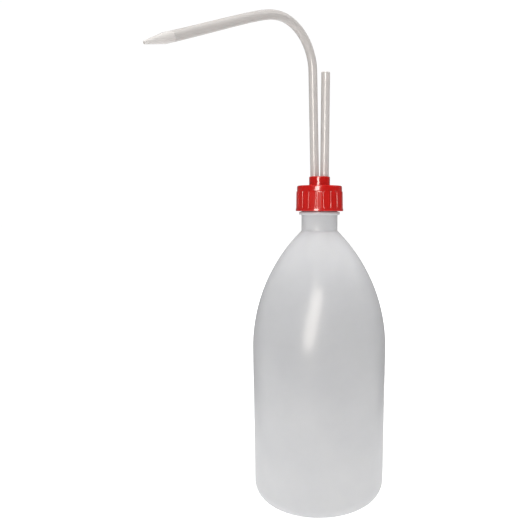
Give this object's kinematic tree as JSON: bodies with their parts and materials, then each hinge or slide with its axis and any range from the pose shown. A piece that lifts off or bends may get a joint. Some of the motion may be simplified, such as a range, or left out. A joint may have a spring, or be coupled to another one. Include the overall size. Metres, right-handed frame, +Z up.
{
  "type": "wash bottle",
  "caption": "Squeeze wash bottle with a red screw ring, a tube holder, a bent delivery tube ending in a jet nozzle, and a straight vent tube.",
  "frame": {"origin": "centre of the base, on the surface the bottle stands on", "axes": "+Z up along the bottle's axis; +X from the delivery tube's bore to the vent tube's bore; the delivery arm points to -X and -Y"},
  "size_m": [0.1396, 0.1458, 0.3333],
  "materials": {
    "bottle_plastic": "satin, milky translucent low-density polyethylene",
    "red_plastic": "glossy moulded polypropylene",
    "gasket": "smooth, slightly compressed",
    "tube_plastic": "extruded translucent low-density polyethylene",
    "nozzle_plastic": "moulded translucent polyethylene"
  },
  "bodies": {
    "bottle": {"bottle": "bottle_plastic"},
    "tube_head": {"tube_holder": "red_plastic", "sealing_gasket": "gasket"},
    "cap_ring": {"cap_ring": "red_plastic"},
    "delivery": {"delivery_tube": "tube_plastic", "jet_nozzle": "nozzle_plastic"},
    "vent": {"vent_tube": "tube_plastic"}
  },
  "joints": [
    {"name": "head_rise", "type": "slide", "parent": "bottle", "child": "tube_head", "axis": [0, 0, 1], "range_m": [0, 0.0045]},
    {"name": "cap_turn", "type": "hinge", "parent": "tube_head", "child": "cap_ring", "pos_m": [0, 0, 0.2146], "axis": [0, 0, 1], "range_deg": [0, 540]},
    {"name": "delivery_swivel", "type": "hinge", "parent": "tube_head", "child": "delivery", "pos_m": [-0.00345, 0, 0.2297], "axis": [-0.0187, -0.0208, 0.9996], "range_deg": [-175, 80]},
    {"name": "vent_slide", "type": "slide", "parent": "tube_head", "child": "vent", "axis": [0.0087, 0, 1], "range_m": [-0.009, 0.015]}
  ],
  "couplings": [
    {"joint": "cap_turn", "follows": "head_rise", "rad_per_m": 2094.4}
  ]
}
